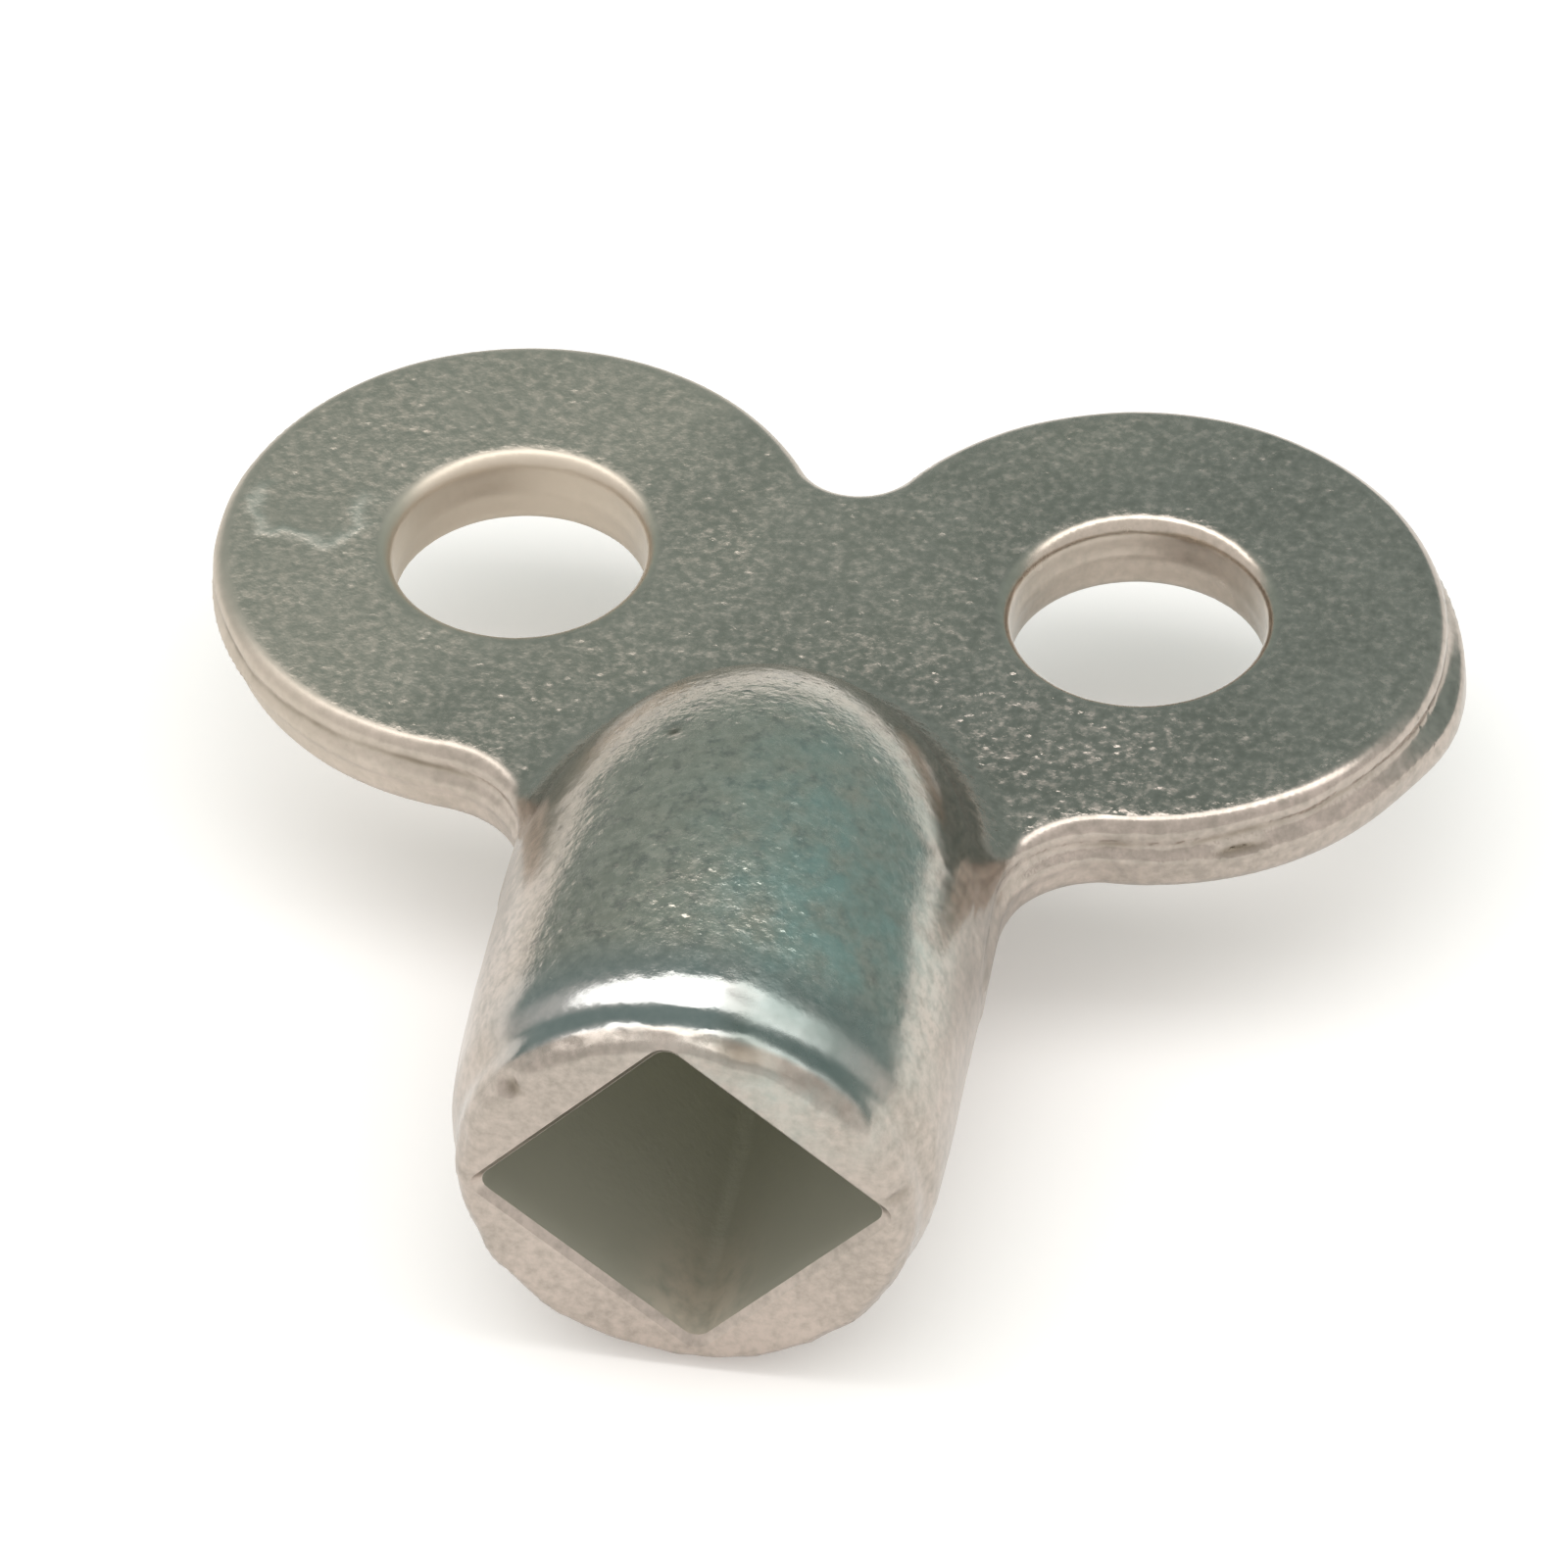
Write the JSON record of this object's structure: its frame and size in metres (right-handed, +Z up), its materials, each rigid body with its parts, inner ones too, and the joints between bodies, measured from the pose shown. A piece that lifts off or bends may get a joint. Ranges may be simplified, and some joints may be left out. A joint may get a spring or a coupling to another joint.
{
  "type": "radiator bleed key",
  "caption": "Flat two-eyed finger key, cast in one piece, with a round barrel whose square socket turns the bleed valve of a radiator.",
  "frame": {"origin": "middle of the key's bounding box, on the socket's axis and on the parting plane of the casting", "axes": "+X across the two finger eyes, +Y along the barrel away from its mouth, +Z up through the plate"},
  "size_m": [0.023, 0.0208, 0.0088],
  "materials": {
    "cast_zinc": "tumbled zinc die casting, satin, with a thin passivated plating"
  },
  "bodies": {
    "root": {"key_casting": "cast_zinc"}
  },
  "joints": []
}
